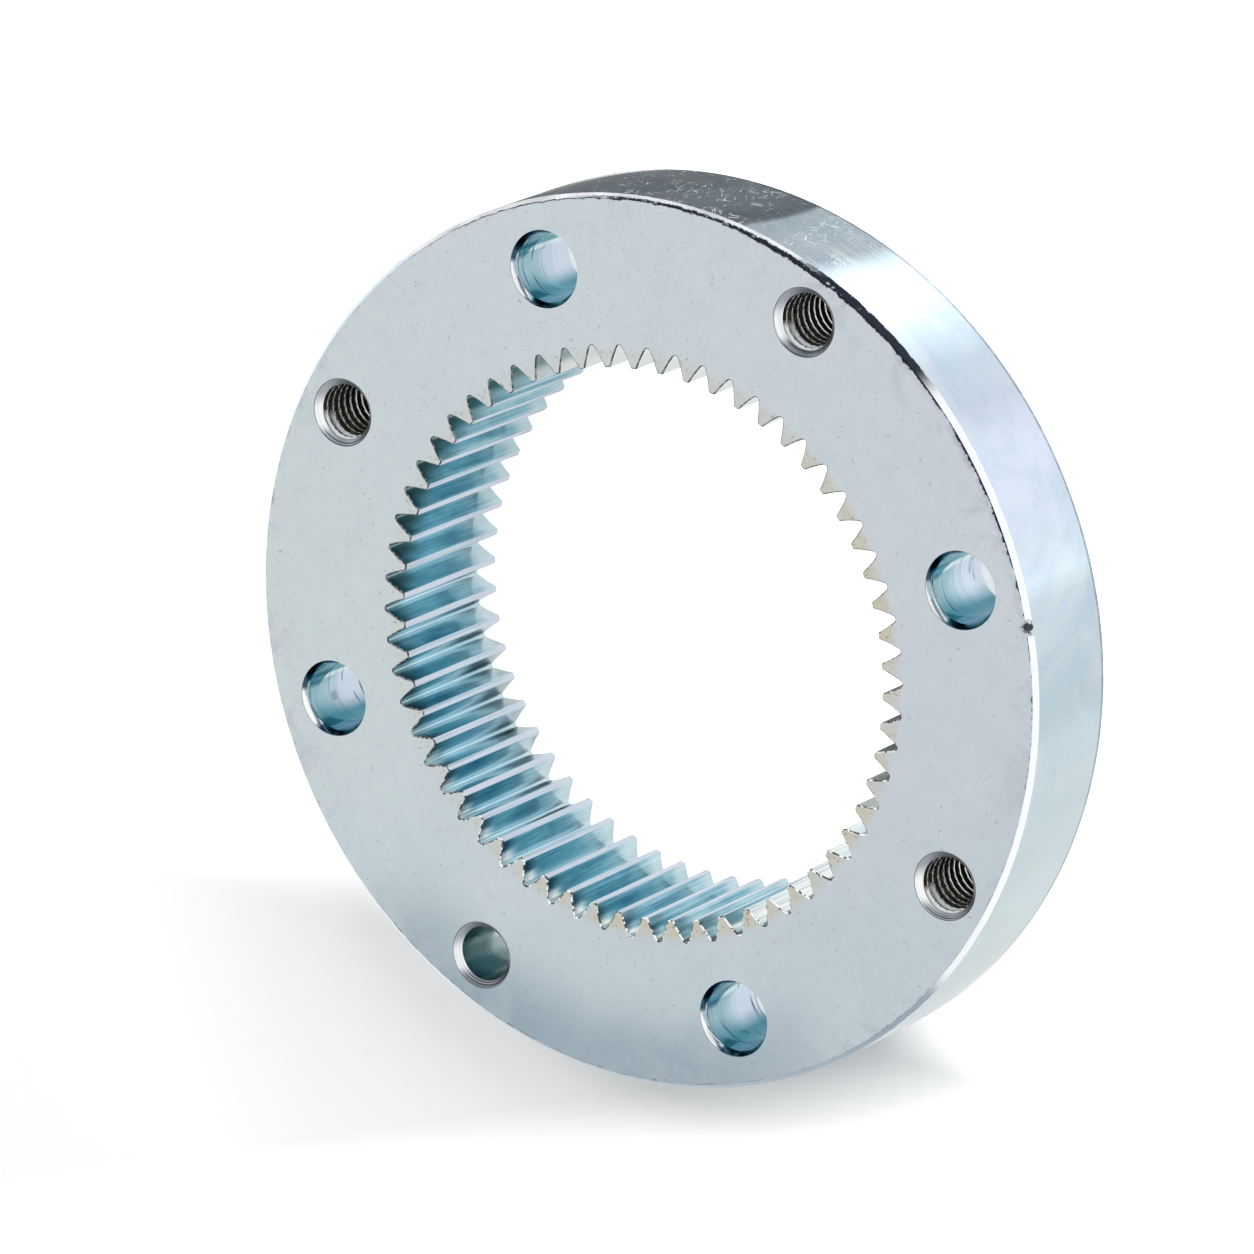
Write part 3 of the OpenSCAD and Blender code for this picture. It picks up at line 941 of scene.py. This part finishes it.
def standing_board(name, from_degrees, to_degrees, height, brightness, tint):
    """A curved board that stands round the ring between two directions."""
    points = []
    faces = []
    for i in range(board_steps + 1):
        x, y = at_angle(board_distance, from_degrees + (to_degrees - from_degrees) * i / board_steps)
        points.extend([(x, y, 0.0), (x, y, height)])
        if i:
            faces.append((2 * i - 2, 2 * i, 2 * i + 1, 2 * i - 1))
    board(name, points, faces, [brightness] * len(points), tint)


standing_board("board_bright_right", -75, 52, 0.95, 1.0, (1.0, 1.0, 1.0))
standing_board("board_grey_top", 56, 112, 0.55, 0.40, (0.9, 0.95, 1.0))

# The folding reflector on the table: glowing ribs that paint the rim's reflections, each leaving the rim's
# foot in the direction in which the rim mirrors the camera. rim_levels lists how bright they glow, by the
# direction in degrees round the ring.
rim_levels = [
    (-80, 0.78), (-60, 0.83), (-22, 0.87), (-18, 0.79), (-10, 0.84), (-4, 0.88), (-1, 1.08), (3, 0.98),
    (16, 1.00), (22, 0.84), (28, 0.90), (33, 1.25), (37, 1.65), (43.5, 1.65), (47.5, 0.66), (57.5, 0.58),
    (58.2, 0.19), (66, 0.23), (74, 0.19), (90, 0.20), (98, 0.45), (110, 0.75),
]
rib_from = 0.0685
rib_length = 0.045
rib_step = 0.5
rib_lift = 0.0004
camera_direction = 10.7
rib_count = int((rim_levels[-1][0] - rim_levels[0][0]) / rib_step) + 1
points = []
faces = []
brightness = []
for i in range(rib_count):
    degrees = rim_levels[0][0] + i * rib_step
    foot_x, foot_y = at_angle(rib_from, degrees)
    along_x, along_y = at_angle(rib_length, 2 * degrees - camera_direction)
    points.extend([(foot_x, foot_y, rib_lift), (foot_x + along_x, foot_y + along_y, rib_lift)])
    brightness.extend([float(np.interp(degrees, *zip(*rim_levels)))] * 2)
    if i:
        faces.append((2 * i - 2, 2 * i - 1, 2 * i + 1, 2 * i))
board("board_round_rim", points, faces, brightness, (0.94, 0.99, 1.0))


# The studio light: an even white room and two soft lamps high up, one at the right and one beyond the ring.
# The camera sees the room white. The metal's gloss sees it brighter than it shines, and not the lamps.
world = bpy.data.worlds.new("studio")
bpy.context.scene.world = world
world.use_nodes = True
room = world.node_tree
room.nodes.clear()
room_tint = (0.97, 0.985, 1.0)


def even_light(colour, strength):
    """The same light from all sides."""
    node = room.nodes.new("ShaderNodeBackground")
    node.inputs["Color"].default_value = (*colour, 1)
    node.inputs["Strength"].default_value = strength
    return node.outputs[0]


room_rays = room.nodes.new("ShaderNodeLightPath").outputs
seen_direct = room.nodes.new("ShaderNodeMath")
seen_direct.operation = "MAXIMUM"
room.links.new(room_rays["Is Camera Ray"], seen_direct.inputs[0])
room.links.new(room_rays["Is Transmission Ray"], seen_direct.inputs[1])
shining = chosen(room, room_rays["Is Glossy Ray"], even_light(room_tint, 0.62), even_light(room_tint, 0.97))
shining = chosen(room, seen_direct.outputs[0], shining, even_light((1, 1, 1), 1.0))
world_out = room.nodes.new("ShaderNodeOutputWorld")
room.links.new(shining, world_out.inputs["Surface"])

lamp_target = Vector((0, 0, 0.01))


def soft_lamp(name, place, size, power):
    """A square soft lamp that looks at the ring."""
    data = bpy.data.lights.new(name, "AREA")
    data.shape = "RECTANGLE"
    data.size = size
    data.size_y = size
    data.energy = power
    lamp = bpy.data.objects.new(name, data)
    bpy.context.scene.collection.objects.link(lamp)
    lamp.location = place
    lamp.rotation_mode = "QUATERNION"
    lamp.rotation_quaternion = (lamp_target - Vector(place)).to_track_quat("-Z", "Y")
    lamp.visible_camera = False
    lamp.visible_glossy = False


soft_lamp("lamp_right", (1.06, 0.60, 0.88), 0.8, 12.5)
soft_lamp("lamp_top", (0.10, 0.76, 1.28), 0.4, 5.5)

# Light goes from flank to flank in the tooth gaps
bpy.context.scene.cycles.glossy_bounces = 8


# The camera: a long lens where the photographer stood, looking down on the drilled face from the right.
# It is held turned on its side. Its axes and its place were found from the outlines in the photo.
camera_data = bpy.data.cameras.new("camera")
camera_data.sensor_width = 36.0
camera_data.lens = 254.08
camera_data.clip_start = 0.01
camera_data.clip_end = 50.0
camera = bpy.data.objects.new("camera", camera_data)
bpy.context.scene.collection.objects.link(camera)
camera_right = Vector((0.80440568, -0.24405323, -0.54163597))
camera_up = Vector((0.13961529, 0.96384775, -0.2269473))
camera_back = camera_right.cross(camera_up)
camera_turn = Matrix((camera_right, camera_up, camera_back)).transposed()
camera_place = (0.75454291, 0.14303216, 1.08443972)
camera.matrix_world = Matrix.Translation(camera_place) @ camera_turn.to_4x4()
bpy.context.scene.camera = camera
bpy.context.scene.view_settings.view_transform = "Standard"
